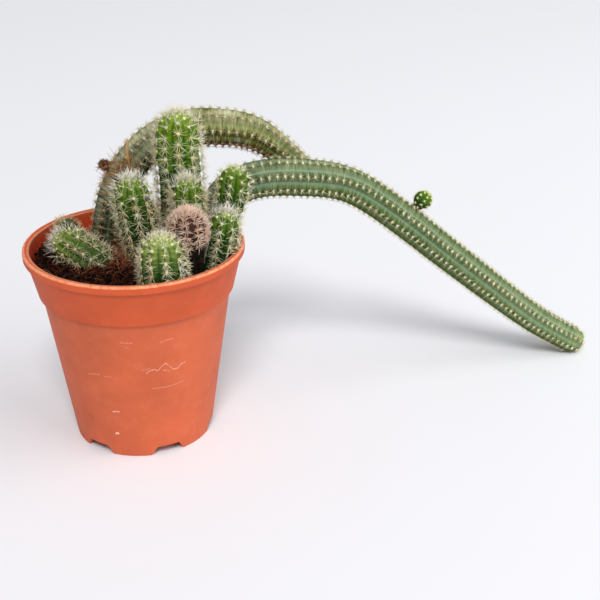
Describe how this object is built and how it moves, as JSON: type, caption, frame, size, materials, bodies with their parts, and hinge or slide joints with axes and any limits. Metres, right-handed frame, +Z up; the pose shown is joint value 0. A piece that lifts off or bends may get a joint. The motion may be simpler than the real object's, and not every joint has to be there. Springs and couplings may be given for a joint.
{
  "type": "potted peanut cactus",
  "caption": "Trailing ribbed cactus with round and long arching stems, short spines and a bud, in soil in a small tapered nursery pot.",
  "frame": {"origin": "centre of the whole plant's box, at the level of the surface that the pot and the long stem's tip rest on", "axes": "+X to the right, the way the long stem trails; -Y to the front of the pot; +Z up"},
  "size_m": [0.1817, 0.0859, 0.0995],
  "materials": {
    "pot_plastic": "matte",
    "soil": "matte",
    "skin_grey_green": "satin",
    "skin_old": "matte",
    "skin_green": "satin",
    "skin_bristly": "matte",
    "areole_felt": "matte",
    "spines": "satin"
  },
  "bodies": {
    "root": {"pot": "pot_plastic", "soil": "soil", "stem_long": "skin_grey_green", "stem_arching": "skin_old", "stem_tall": "skin_green", "stem_left": "skin_green", "stem_middle": "skin_green", "stem_bristly": "skin_bristly", "stem_front": "skin_green", "stem_right": "skin_green", "stem_right_rear": "skin_green", "stem_lying": "skin_green", "stem_small": "skin_old"}
  },
  "joints": []
}
